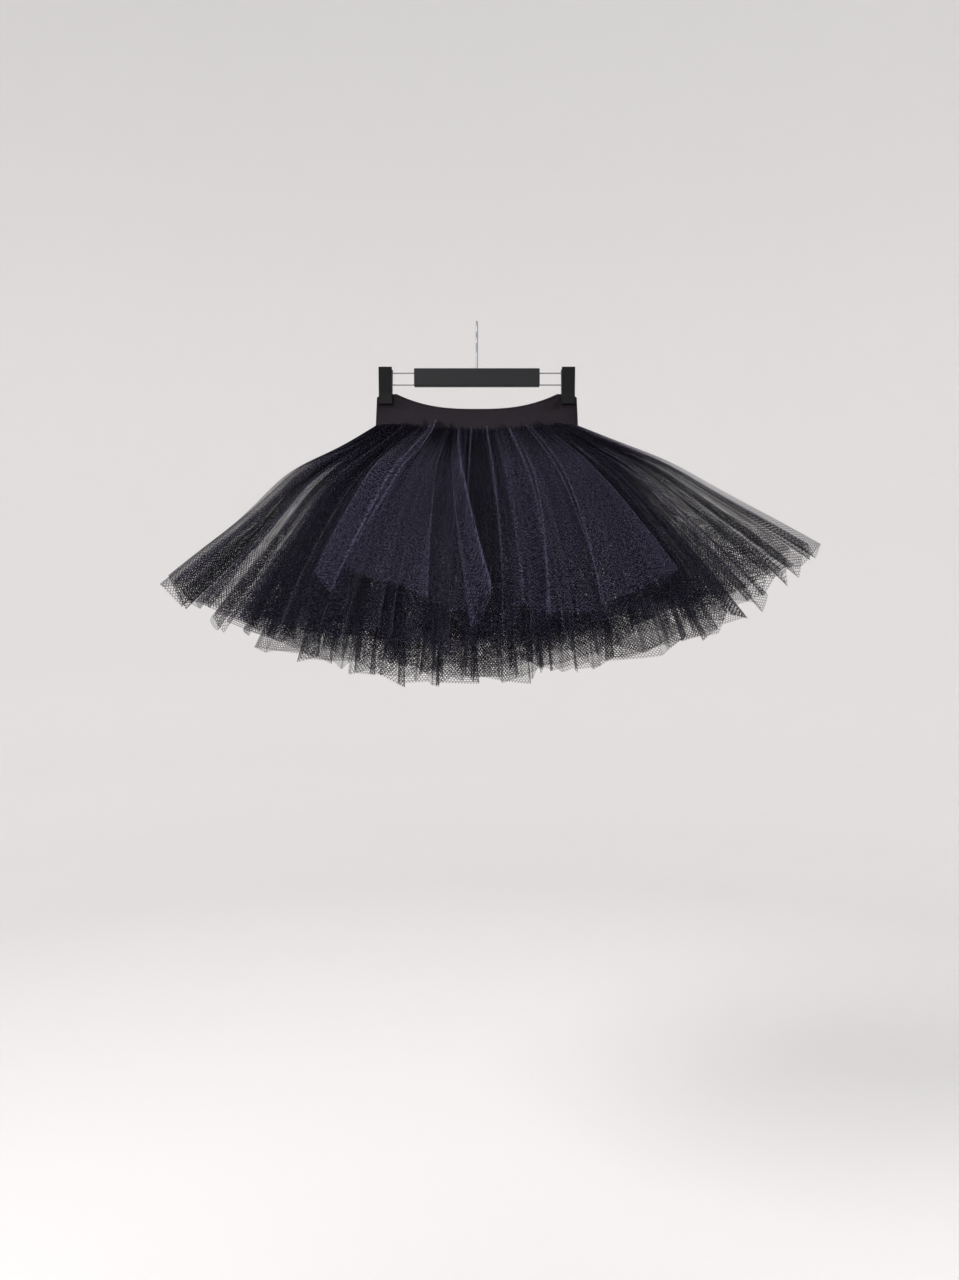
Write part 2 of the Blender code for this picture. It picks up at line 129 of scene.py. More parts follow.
# The outer sheet's turns, from its right end over the front to its left end. Place 0 is the right
# end, 0.25 the front and 0.5 the left end. The cloth doubles back where the hem's place steps down
FRONT_TURNS = (
    Turn(0.0040, 0.0050, -0.030, 0.000),
    Turn(0.0110, 0.0260, 0.003, 0.004),
    Turn(0.0150, 0.0380, -0.022, 0.012),
    Turn(0.0180, 0.0300, -0.007, -0.012),
    Turn(0.0210, 0.0440, -0.026, 0.010),
    Turn(0.0250, 0.0350, -0.009, -0.016),
    Turn(0.0300, 0.0540, -0.050, 0.014),
    Turn(0.0350, 0.0700, -0.018, -0.012),
    Turn(0.0400, 0.0780, -0.046, 0.022),
    Turn(0.0440, 0.0740, -0.030, -0.006),
    Turn(0.0500, 0.0960, -0.052, 0.014),
    Turn(0.0560, 0.0880, -0.020, -0.008),
    Turn(0.0610, 0.1180, -0.012, -0.004),
    Turn(0.0650, 0.1080, -0.030, 0.004),
    Turn(0.0850, 0.1660, -0.030, -0.020),
    Turn(0.1050, 0.1470, 0.012, -0.030),
    Turn(0.1160, 0.1740, 0.004, -0.015),
    Turn(0.1300, 0.1940, 0.012, 0.000),
    Turn(0.1380, 0.1885, -0.008, 0.000),
    Turn(0.1680, 0.2196, 0.012, 0.004),
    Turn(0.1760, 0.2150, -0.006, 0.000),
    Turn(0.2134, 0.2288, 0.012, -0.012),
    Turn(0.2175, 0.2330, -0.014, -0.002),
    Turn(0.2290, 0.2390, -0.012, 0.004),
    Turn(0.2330, 0.2340, -0.020, -0.004),
    Turn(0.2620, 0.2620, -0.022, -0.020),
    Turn(0.2925, 0.2415, 0.018, -0.047),
    Turn(0.2960, 0.2440, 0.016, -0.004),
    Turn(0.3000, 0.2529, 0.010, 0.030),
    Turn(0.3030, 0.2500, -0.004, -0.010),
    Turn(0.3070, 0.2820, -0.006, -0.036),
    Turn(0.3160, 0.2728, 0.015, -0.020),
    Turn(0.3250, 0.2940, 0.006, -0.046),
    Turn(0.3400, 0.3280, 0.004, -0.066),
    Turn(0.3560, 0.3226, 0.008, -0.016),
    Turn(0.3842, 0.3380, 0.014, -0.045),
    Turn(0.3780, 0.3160, -0.014, -0.020),
    Turn(0.3950, 0.3450, -0.014, 0.034),
    Turn(0.3980, 0.3380, -0.034, 0.030),
    Turn(0.4120, 0.3680, -0.008, 0.030),
    Turn(0.4160, 0.3600, -0.030, 0.026),
    Turn(0.4300, 0.3950, -0.004, 0.020),
    Turn(0.4370, 0.4020, -0.034, 0.010),
    Turn(0.4420, 0.4300, 0.003, 0.000),
    Turn(0.4460, 0.4480, -0.052, -0.004),
    Turn(0.4500, 0.4360, -0.004, 0.000),
    Turn(0.4570, 0.4580, -0.056, 0.004),
    Turn(0.4650, 0.4500, 0.002, -0.008),
    Turn(0.4740, 0.4720, -0.050, 0.002),
    Turn(0.4840, 0.4660, -0.004, 0.004),
    Turn(0.5000, 0.5050, 0.002, 0.000),
)


class Heading(NamedTuple):
    """Net that puffs up over the band's lower edge: its place at the seam, its width and its rise."""

    place: float
    width: float
    rise: float


HEADINGS = (
    Heading(0.070, 0.012, 0.0014),
    Heading(0.112, 0.010, 0.0038),
    Heading(0.150, 0.006, 0.0022),
    Heading(0.188, 0.008, 0.0030),
    Heading(0.232, 0.006, 0.0018),
    Heading(0.282, 0.005, 0.0024),
    Heading(0.306, 0.006, 0.0036),
    Heading(0.336, 0.013, 0.0062),
    Heading(0.366, 0.008, 0.0048),
    Heading(0.410, 0.012, 0.0014),
    Heading(0.590, 0.012, 0.0034),
    Heading(0.655, 0.008, 0.0046),
    Heading(0.700, 0.006, 0.0026),
    Heading(0.742, 0.010, 0.0050),
    Heading(0.796, 0.007, 0.0030),
    Heading(0.860, 0.013, 0.0042),
    Heading(0.925, 0.010, 0.0030),
)


class Crease(NamedTuple):
    """A soft trough or ridge in the outer sheet: its places, its span down it, its width and depth."""

    seam: float
    hem: float
    first: float
    last: float
    width: float
    depth: float


CREASES = (
    Crease(0.3150, 0.2780, 0.18, 0.86, 0.0040, 0.0060),
    Crease(0.3000, 0.2610, 0.05, 0.74, 0.0030, -0.0050),
    Crease(0.2760, 0.2500, 0.30, 0.95, 0.0035, 0.0055),
    Crease(0.3500, 0.3000, 0.02, 0.60, 0.0050, -0.0070),
    Crease(0.3350, 0.2930, 0.35, 0.90, 0.0045, 0.0040),
    Crease(0.1500, 0.2050, 0.03, 0.80, 0.0040, -0.0055),
    Crease(0.1100, 0.1800, 0.10, 0.95, 0.0050, 0.0060),
    Crease(0.0950, 0.1580, 0.02, 0.55, 0.0035, -0.0050),
    Crease(0.0550, 0.1100, 0.05, 0.85, 0.0060, 0.0070),
    Crease(0.4050, 0.3580, 0.04, 0.70, 0.0045, -0.0060),
    Crease(0.4400, 0.4100, 0.10, 0.95, 0.0060, 0.0070),
    Crease(0.5600, 0.5900, 0.04, 0.75, 0.0050, -0.0060),
    Crease(0.6300, 0.6600, 0.12, 0.95, 0.0060, 0.0070),
    Crease(0.6900, 0.7050, 0.02, 0.60, 0.0040, -0.0050),
    Crease(0.7450, 0.7400, 0.20, 0.90, 0.0045, 0.0060),
    Crease(0.7900, 0.7800, 0.05, 0.65, 0.0040, -0.0055),
    Crease(0.8600, 0.8350, 0.08, 0.95, 0.0055, 0.0065),
    Crease(0.9200, 0.8900, 0.03, 0.70, 0.0050, -0.0060),
)

QUARTER_SAMPLES = 240
HEM_SAMPLES = 8001
CUT_MEASURED_AT = 0.7
NORMAL_STEP = 1e-4
SHORTEST = 1e-12


def even_oval(right, left, front, back, place):
    """Points of an oval at the given places, each quarter walked at an even pace. Returns x and y."""
    angle = np.linspace(0.0, math.pi / 2, QUARTER_SAMPLES)
    x = np.zeros(len(place))
    y = np.zeros(len(place))
    quarters = ((right, front, 1, -1), (left, front, -1, -1), (left, back, -1, 1), (right, back, 1, 1))
    for number, (half_x, half_y, sign_x, sign_y) in enumerate(quarters):
        steps = np.hypot(half_x * np.diff(np.cos(angle)), half_y * np.diff(np.sin(angle)))
        walked = np.concatenate([[0.0], np.cumsum(steps)])
        share = (place * 4) % 4 - number
        inside = (share >= 0) & (share < 1)
        from_side = share if number % 2 == 0 else 1 - share
        turned = np.interp(from_side * walked[-1], walked, angle)
        x = np.where(inside, sign_x * half_x * np.cos(turned), x)
        y = np.where(inside, sign_y * half_y * np.sin(turned), y)
    return x, y


def seam_line(stack, place):
    """Where a sheet leaves the seam. The sheets are stacked across the way that they leave it."""
    x, y = even_oval(BAND_HALF_WIDTH, BAND_HALF_WIDTH, SEAM_HALF_DEPTH, SEAM_HALF_DEPTH, place)
    outward = np.stack([x / BAND_HALF_WIDTH**2, y / SEAM_HALF_DEPTH**2])
    outward /= np.linalg.norm(outward, axis=0)
    right, left, front, back = MIDDLE_LEANS
    side = (right + left) / 2 + NET_BULGE
    face = (front + back) / 2 + NET_BULGE
    lean = np.radians(face + (side - face) * np.cos(2 * math.pi * place) ** 2)
    drop = SEAM_FRONT_DROP * np.sin(2 * math.pi * place) ** 2
    away = stack * NET_STEP
    return np.stack(
        [
            x + outward[0] * away * np.cos(lean),
            y + outward[1] * away * np.cos(lean),
            SEAM_SIDE - drop + away * np.sin(lean),
        ],
        axis=-1,
    )


def net_surface(layer, place, down):
    """The smooth surface of a sheet, each line down it an arc of the sheet's cut length."""
    bulge = math.radians(NET_BULGE)
    chord = layer.cut_length * math.sin(bulge) / bulge
    start = seam_line(layer.stack, place)
    side_leans = (layer.lean_right, layer.lean_left)
    face_leans = (layer.lean_front, layer.lean_back)
    side_reach = [BAND_HALF_WIDTH + chord * math.sin(math.radians(a)) for a in side_leans]
    face_reach = [SEAM_HALF_DEPTH + chord * math.sin(math.radians(a)) for a in face_leans]
    hem_x, hem_y = even_oval(*side_reach, *face_reach, place)
    run_x = hem_x - start[:, 0]
    run_y = hem_y - start[:, 1]
    run = np.hypot(run_x, run_y)
    lean = np.arcsin(np.minimum(run / chord, 1.0))
    part_bulge = bulge * down
    # numpy's sinc is sin(pi x) / (pi x), which gives an arc's chord as a share of its length
    part_chord = layer.cut_length * down * np.sinc(part_bulge / math.pi)
    part_lean = lean + bulge - part_bulge
    out = part_chord * np.sin(part_lean)
    return np.stack(
        [
            start[:, 0] + out * run_x / run,
            start[:, 1] + out * run_y / run,
            start[:, 2] - part_chord * np.cos(part_lean),
        ],
        axis=-1,
    )


def surface_normal(layer, place, down, here):
    """The outward normal of a sheet's smooth surface."""
    step = NORMAL_STEP
    along = net_surface(layer, (place + step) % 1, down) - here
    below = net_surface(layer, place, down + step) - here
    normal = np.cross(along, below)
    return normal / np.maximum(np.linalg.norm(normal, axis=1, keepdims=True), SHORTEST)


FOLD_WIDTHS = (0.35, 1.9)
FOLD_DEPTHS = (0.5, 1.4)
WING_DEPTH = 1.8
WING_HEIGHT = 0.4
WING_TUCK = 0.7
WING_SHARPNESS = 4
LONGEST_GAIN = 0.3
HEM_RISES = ((0.0, 0.0), (0.10, 0.012), (0.15, 0.024), (0.20, 0.020), (0.24, 0.0), (1.0, 0.0))
CROWDING = 0.5
BACK_END = 0.99


def seam_of(hem):
    """The place at the seam above a place at the hem: folds crowd to the middle of front and back."""
    return hem - CROWDING * np.sin(4 * math.pi * hem) / (4 * math.pi)


def chance_turns(layer, first, last):
    """Turns of a sheet between two places, with widths, tucks and depths spread by a fixed draw."""
    draw = np.random.default_rng(layer.draw)
    folds = max(1, round(layer.folds * (last - first)))
    widths = draw.uniform(*FOLD_WIDTHS, folds)
    seam = first + np.cumsum(widths) * (last - first) / widths.sum()
    steps = np.linspace(0, 1, QUARTER_SAMPLES)
    hem = np.interp(seam, seam_of(steps), steps)
    tucks = 0.5 + draw.uniform(-layer.tuck, layer.tuck, folds)
    heights = draw.uniform(*FOLD_DEPTHS, folds) * layer.fold_depth
    depths = draw.uniform(*FOLD_DEPTHS, folds) * layer.fold_depth
    longer = draw.uniform(-layer.uneven, LONGEST_GAIN * layer.uneven, (folds, 2))
    longer -= np.interp(hem, *zip(*HEM_RISES))[:, None]
    turns = []
    for i in range(folds):
        side = math.cos(2 * math.pi * hem[i]) ** WING_SHARPNESS
        height = heights[i] * (1 + (WING_HEIGHT - 1) * side)
        depth = depths[i] * (1 + (WING_DEPTH - 1) * side)
        tuck = 0.5 + (tucks[i] - 0.5) * (1 + (WING_TUCK - 1) * side)
        seam_after = seam[i + 1] if i + 1 < folds else last + seam[0] - first
        hem_after = hem[i + 1] if i + 1 < folds else last + hem[0] - first
        turns.append(Turn(seam[i], hem[i], height, longer[i, 0]))
        inner = hem[i] + (hem_after - hem[i]) * tuck
        turns.append(Turn((seam[i] + seam_after) / 2, inner, -depth, longer[i, 1]))
    return turns


EDGE_WIDTH = 0.0035
EDGE_POWER = 1.5


class HemLine(NamedTuple):
    """A sheet's turns as even steps along its cloth, rounded, less the steady walk round."""

    share: np.ndarray
    seam: np.ndarray
    hem: np.ndarray
    outward: np.ndarray
    longer: np.ndarray
    edge: np.ndarray


@functools.cache
def hem_line(layer):
    """Works out a sheet's seam and hem places, its reach and its fold edges along the cloth."""
    if layer.name == "outer":
        turns = [*FRONT_TURNS, *chance_turns(layer, FRONT_TURNS[-1].seam, BACK_END)]
    else:
        turns = chance_turns(layer, 0.0, 1.0)
    knots = np.array([*turns, turns[0]])
    knots[-1, :2] += 1
    around = np.linspace(0, 1, HEM_SAMPLES)
    hem = net_surface(layer, around % 1, np.ones_like(around))
    girth = np.linalg.norm(np.diff(hem, axis=0), axis=1).sum()
    steps = np.stack([np.diff(knots[:, 1]) * girth, np.diff(knots[:, 2])], axis=1)
    lengths = np.linalg.norm(steps, axis=1)
    along = np.concatenate([[0], np.cumsum(lengths)])
    share = np.arange(HEM_SAMPLES) / HEM_SAMPLES
    line = np.stack([np.interp(share * along[-1], along, knots[:, i]) for i in range(4)])
    line[:2] -= share
    # Rounds each turn, by smoothing along the cloth
    waves = np.fft.rfftfreq(HEM_SAMPLES, along[-1] / HEM_SAMPLES)
    rounding = np.exp(-2 * (math.pi * layer.softness * waves) ** 2)
    line = np.fft.irfft(np.fft.rfft(line, axis=1) * rounding, HEM_SAMPLES, axis=1)
    # A turn shows as an edge where the cloth doubles back, less where it only bends
    before = np.roll(steps, 1, axis=0)
    bend = (steps * before).sum(axis=1) / (lengths * np.roll(lengths, 1))
    sharpness = ((1 - bend) / 2) ** EDGE_POWER
    away = (share[:, None] - along[None, :-1] / along[-1] + 0.5) % 1 - 0.5
    edge = (sharpness * np.exp(-((away * along[-1] / EDGE_WIDTH) ** 2))).max(axis=1)
    return HemLine(share, *line, edge)


GATHERS = 150
GATHER_DEPTH = 0.0024
GATHERS_END = 0.50
FOLDS_OPEN = 0.7
FOLDS_DEEPEN = 0.75
SWAY = 0.004
STAND_OUT = 0.014
STAND_OUT_MIDDLE = 0.38
STAND_OUT_SPREAD = 0.18
FRONT_STAND_OUT = 0.30
RIGHT_STAND_OUT = 0.40
GATHERS_LIFT = 0.6
WAVER = 1.5
WAVER_WAVES = 7
WAVER_SHIFT = 5
SWAY_WAVES = 4
SWAY_SHIFT = 7
HEADING_FALL = 0.022
HEADING_OUT = 0.7


def smooth_step(share):
    """0 below 0 and 1 above 1, with a smooth rise between."""
    share = np.clip(share, 0, 1)
    return share * share * (3 - 2 * share)


def crease_reach(place, down):
    """How far the listed creases move the outer sheet."""
    reach = np.zeros_like(place)
    for crease in CREASES:
        middle = crease.seam + (crease.hem - crease.seam) * down**FOLDS_OPEN
        away = (place - middle + 0.5) % 1 - 0.5
        along = np.clip((down - crease.first) / (crease.last - crease.first), 0, 1)
        reach = reach + crease.depth * np.sin(math.pi * along) * np.exp(-((away / crease.width) ** 2))
    return reach


def stand_out(layer, place, down):
    """How far the springy net swells out on its way down, most at the sides and in the outer sheets."""
    side = np.cos(2 * math.pi * place) ** 2
    share = FRONT_STAND_OUT + (1 - FRONT_STAND_OUT) * side
    share = share * (1 - (1 - RIGHT_STAND_OUT) * (1 + np.cos(2 * math.pi * place)) / 2)
    inside = (layer.stack - LAYERS[-1].stack) / (LAYERS[0].stack - LAYERS[-1].stack)
    swell = np.exp(-(((down - STAND_OUT_MIDDLE) / STAND_OUT_SPREAD) ** 2))
    return STAND_OUT * inside * share * swell


def heading_rise(place, down):
    """How far the outer sheet's heading puffs up over the band."""
    rise = np.zeros_like(place)
    for heading in HEADINGS:
        away = (place - heading.place + 0.5) % 1 - 0.5
        rise = rise + heading.rise * np.exp(-((away / heading.width) ** 2))
    return rise * np.exp(-((down / HEADING_FALL) ** 2))


def hung_points(layer, cloth, down):
    """Where points of a sheet hang. cloth is their place along the cut, down their share of the fall."""
    line = hem_line(layer)
    seam, hem, outward, longer = (
        np.interp(cloth, line.share, row, period=1)
        for row in (line.seam, line.hem, line.outward, line.longer)
    )
    swing = np.sin(2 * math.pi * (SWAY_WAVES * cloth + layer.draw / SWAY_SHIFT))
    sway = SWAY * np.sin(math.pi * down) * swing
    place = (cloth + seam + (hem - seam) * down**FOLDS_OPEN + sway) % 1
    deeper = down * (1 + longer / layer.cut_length)
    here = net_surface(layer, place, deeper)
    normal = surface_normal(layer, place, deeper, here)
    gathers = GATHER_DEPTH * (1 - smooth_step(down / GATHERS_END))
    waver = np.sin(2 * math.pi * (WAVER_WAVES * cloth + layer.draw / WAVER_SHIFT)) * WAVER
    lift = GATHERS_LIFT * np.sin(2 * math.pi * place) ** 2
    reach = outward * down**FOLDS_DEEPEN + gathers * (lift + np.sin(2 * math.pi * GATHERS * cloth + waver))
    reach = reach + stand_out(layer, place, down)
    if layer.name != "outer":
        return here + normal * reach[:, None]
    rise = heading_rise(place, down)
    reach = reach + crease_reach(place, down) + HEADING_OUT * rise
    here[:, 2] += rise
    return here + normal * reach[:, None]


EDGE_COLUMNS = 4.0


def cloth_columns(layer, columns):
    """Places along the cut for a sheet's columns, closer together where the cloth turns."""
    line = hem_line(layer)
    walked = np.concatenate([[0], np.cumsum(1 + EDGE_COLUMNS * line.edge)])
    ends = np.linspace(0, 1, HEM_SAMPLES + 1)
    return np.interp(np.linspace(0, 1, columns + 1), walked / walked[-1], ends)


def cut_width(layer):
    """How wide a sheet's cut is, measured along its folds some way above the hem."""
    cloth = np.linspace(0, 1, HEM_SAMPLES)
    line = hung_points(layer, cloth % 1, np.full_like(cloth, CUT_MEASURED_AT))
    return float(np.linalg.norm(np.diff(line, axis=0), axis=1).sum())


def link(piece):
    """Puts a piece in the scene."""
    bpy.context.scene.collection.objects.link(piece)
    return piece


WELD = 1e-6


def cloth_grid(name, columns, rows, shape, places=None):
    """A loop of cloth bent by shape(around, down), with both shares as its UV map."""
    cloth = bmesh.new()
    bmesh.ops.create_grid(cloth, x_segments=columns, y_segments=rows, size=1, calc_uvs=False)
    uv = cloth.loops.layers.uv.new("cut")
    flat = np.array([v.co[:] for v in cloth.verts])
    around = (flat[:, 0] + 1) / 2
    down = (flat[:, 1] + 1) / 2
    if places is not None:
        around = np.interp(around, np.linspace(0, 1, columns + 1), places)
    for vertex in cloth.verts:
        for loop in vertex.link_loops:
            loop[uv].uv = (around[vertex.index], down[vertex.index])
    points = shape(around % 1, down)
    for vertex, point in zip(cloth.verts, points):
        vertex.co = point
    bmesh.ops.remove_doubles(cloth, verts=cloth.verts, dist=WELD)
    bmesh.ops.recalc_face_normals(cloth, faces=cloth.faces)
    mesh = bpy.data.meshes.new(name)
    cloth.to_mesh(mesh)
    cloth.free()
    mesh.shade_smooth()
    return link(bpy.data.objects.new(name, mesh))


def add_node(tree, kind, settings=None, links=None):
    """Adds a node to a material, with its settings and what feeds its sockets."""
    node = tree.nodes.new(kind)
    for key, value in (settings or {}).items():
        if isinstance(key, int) or key in node.inputs:
            node.inputs[key].default_value = value
        else:
            setattr(node, key, value)
    for key, source in (links or {}).items():
        tree.links.new(source, node.inputs[key])
    return node


def combine(tree, operation, first, second):
    """A math node over two outputs. Returns its own output."""
    return add_node(tree, "ShaderNodeMath", {"operation": operation}, {0: first, 1: second}).outputs[0]


def new_finish(name, colour, roughness, settings=None):
    """A material with one Principled shader, its colour linear. Returns it, its tree and the shader."""
    material = bpy.data.materials.new(name)
    material.use_nodes = True
    tree = material.node_tree
    tree.nodes.clear()
    shader = add_node(tree, "ShaderNodeBsdfPrincipled", {"Base Color": colour, "Roughness": roughness})
    for key, value in (settings or {}).items():
        shader.inputs[key].default_value = value
    add_node(tree, "ShaderNodeOutputMaterial", links={"Surface": shader.outputs[0]})
    return material, tree, shader


THREAD_SOFTNESS = 0.06
# The raw cut's line, as shares of the fall, and how far its cells close
RAW_EDGE_FROM = 0.9955
RAW_EDGE_FULL = 0.9970
RAW_EDGE_CLOSING = 0.22
# The grain's noise lies between these, and it darkens and brightens the net between these
GRAIN_NOISE = (0.3, 0.7)
GRAIN_STRENGTH = (0.15, 2.1)


def nylon_net(sizes, colours):
    """Soft nylon bobbin net: matt filaments round open six-sided cells, so the wall shows through it.

    The real cell is about 1.2 mm across. It is drawn coarser, so that it shows as grain in a render.
    """
    net = (*colours.net, 1.0)
    material, tree, shader = new_finish("soft nylon net", net, 0.62, {"Specular IOR Level": 0.03})
    cut = add_node(tree, "ShaderNodeUVMap", {"uv_map": "cut"})
    cell = sizes.net_cell_mm / 1000
    to_cells = add_node(
        tree,
        "ShaderNodeVectorMath",
        {"operation": "MULTIPLY", 1: (1 / cell, 1 / cell, 0)},
        {0: cut.outputs[0]},
    )
    repeat = (1.0, math.sqrt(3), 1.0)
    half = (0.5, math.sqrt(3) / 2, 0.5)
    nearest = []
    for offset in ((0, 0, 0), half):
        moved = add_node(
            tree, "ShaderNodeVectorMath", {"operation": "SUBTRACT", 1: offset}, {0: to_cells.outputs[0]}
        )
        wrapped = add_node(
            tree,
            "ShaderNodeVectorMath",
            {"operation": "WRAP", 1: repeat, 2: (0, 0, 0)},
            {0: moved.outputs[0]},
        )
        centred = add_node(
            tree, "ShaderNodeVectorMath", {"operation": "SUBTRACT", 1: half}, {0: wrapped.outputs[0]}
        )
        flat = add_node(
            tree, "ShaderNodeVectorMath", {"operation": "MULTIPLY", 1: (1, 1, 0)}, {0: centred.outputs[0]}
        )
        size = add_node(tree, "ShaderNodeVectorMath", {"operation": "ABSOLUTE"}, {0: flat.outputs[0]})
        slanted = add_node(
            tree,
            "ShaderNodeVectorMath",
            {"operation": "DOT_PRODUCT", 1: (0.5, math.sqrt(3) / 2, 0)},
            {0: size.outputs[0]},
        )
        apart = add_node(tree, "ShaderNodeSeparateXYZ", links={0: size.outputs[0]})
        nearest.append(combine(tree, "MAXIMUM", apart.outputs[0], slanted.outputs["Value"]))
    to_edge = combine(tree, "MINIMUM", *nearest)
    half_thread = sizes.net_thread_mm / sizes.net_cell_mm / 2
    thread = add_node(
        tree,
        "ShaderNodeMapRange",
        {
            "interpolation_type": "SMOOTHSTEP",
            1: 0.5 - half_thread - THREAD_SOFTNESS,
            2: 0.5 - half_thread + THREAD_SOFTNESS,
        },
        {0: to_edge},
    )
    gathered = add_node(tree, "ShaderNodeAttribute", {"attribute_name": "closing"})
    fall = add_node(tree, "ShaderNodeAttribute", {"attribute_name": "fall"})
    # The raw cut shows as a line, where the threads' ends stand close together
    raw_edge = add_node(
        tree,
        "ShaderNodeMapRange",
        {1: RAW_EDGE_FROM, 2: RAW_EDGE_FULL, 4: RAW_EDGE_CLOSING},
        {0: fall.outputs["Fac"]},
    )
    lines = combine(tree, "MAXIMUM", gathered.outputs["Fac"], raw_edge.outputs[0])
    closed = combine(tree, "MAXIMUM", thread.outputs[0], lines)
    tree.links.new(closed, shader.inputs["Alpha"])
    painted_shade = add_node(tree, "ShaderNodeAttribute", {"attribute_name": "painted_shade"})
    # Painted shade: the net's colour is darkened deep between folds, under other sheets and near the seam,
    # standing in for net packed denser than is modelled, which lets little light in
    hollow_shade = add_node(
        tree,
        "ShaderNodeMix",
        {"data_type": "RGBA", 6: net, 7: (*colours.hollow_shade, 1.0)},
        {0: painted_shade.outputs["Fac"]},
    )
    # Painted highlight: fold crests and the raw cut are lightened towards the edge colour, for threads
    # that catch the light edge-on
    crest_highlight = add_node(tree, "ShaderNodeAttribute", {"attribute_name": "crest_highlight"})
    bright = combine(tree, "MAXIMUM", crest_highlight.outputs["Fac"], raw_edge.outputs[0])
    lit = add_node(
        tree,
        "ShaderNodeMix",
        {"data_type": "RGBA", 7: (*colours.edge, 1.0)},
        {0: bright, 6: hollow_shade.outputs[2]},
    )
    # Cells lie over those of the sheet behind, and show as grain where they meet
    grain = add_node(
        tree,
        "ShaderNodeTexNoise",
        {"Scale": 1000 / sizes.net_grain_mm, "Detail": 0.0},
        {"Vector": cut.outputs[0]},
    )
    strength = add_node(
        tree,
        "ShaderNodeMapRange",
        {1: GRAIN_NOISE[0], 2: GRAIN_NOISE[1], 3: GRAIN_STRENGTH[0], 4: GRAIN_STRENGTH[1]},
        {0: grain.outputs["Fac"]},
    )
    grained = add_node(
        tree, "ShaderNodeVectorMath", {"operation": "SCALE"}, {0: lit.outputs[2], 3: strength.outputs[0]}
    )
    tree.links.new(grained.outputs[0], shader.inputs["Base Color"])
    return material


class SkirtSizes(bpy.types.PropertyGroup):
    """The sizes that a user would change."""

    net_cell_mm: FloatProperty(
        name="Net cell",
        description="Width of a cell of the net as drawn, in millimetres",
        default=3.5,
        min=0.5,
    )
    net_thread_mm: FloatProperty(
        name="Net thread",
        description="Width of the net's thread as drawn, in millimetres",
        default=0.63,
        min=0.05,
    )
    net_grain_mm: FloatProperty(
        name="Net grain",
        description="Size of the grain where sheets of net overlap, in millimetres",
        default=3.8,
        min=0.5,
    )
    columns: IntProperty(
        name="Columns", description="Columns of points round a sheet", default=1300, min=200
    )
    rows_down: IntProperty(name="Rows", description="Rows of points down a sheet", default=36, min=8)


class SkirtColours(bpy.types.PropertyGroup):
    """The colours that a user would change, as linear red, green and blue."""

    net: FloatVectorProperty(
        name="Net",
        description="Colour of the net's filaments",
        subtype="COLOR",
        default=linear("#262431")[:3],
    )
    # A painted shade: deep folds, the sheets under others and the seam are darkened towards this colour
    hollow_shade: FloatVectorProperty(
        name="Net hollow",
        description="Colour of the net deep between two folds",
        subtype="COLOR",
        default=linear("#0a090f")[:3],
    )
    # A painted highlight: fold crests and the raw cut are lightened towards this colour
    edge: FloatVectorProperty(
        name="Net edge",
        description="Colour of the net where it is seen along its threads, at a fold or a cut edge",
        subtype="COLOR",
        default=linear("#393746")[:3],
    )
    knit: FloatVectorProperty(
        name="Knit", description="Colour of the waistband", subtype="COLOR", default=linear("#161217")[:3]
    )


def dress(piece, material, nodes=(), body="root"):
    """Gives a piece its material, its body and the solids that it stands for."""
    piece.data.materials.clear()
    piece.data.materials.append(material)
    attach(piece, body)
    if nodes:
        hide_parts(*nodes)
    return piece


BUNCHED_CLOSING = 0.50
BUNCHED_BY = 0.60
EDGE_CLOSING = 0.75
# These set the painted shade: how deep a fold must be to be fully darkened, over how much of the fall from
# the seam that grows, how much of it the inner sheets take, and how dark and how far down the seam is
FOLD_SHADE_DEPTH = 0.016
FOLD_SHADE_BY = 0.12
INNER_FOLD_SHADE = 0.6
SHADE_AT_SEAM = 0.90
SHADED_BY = 0.45


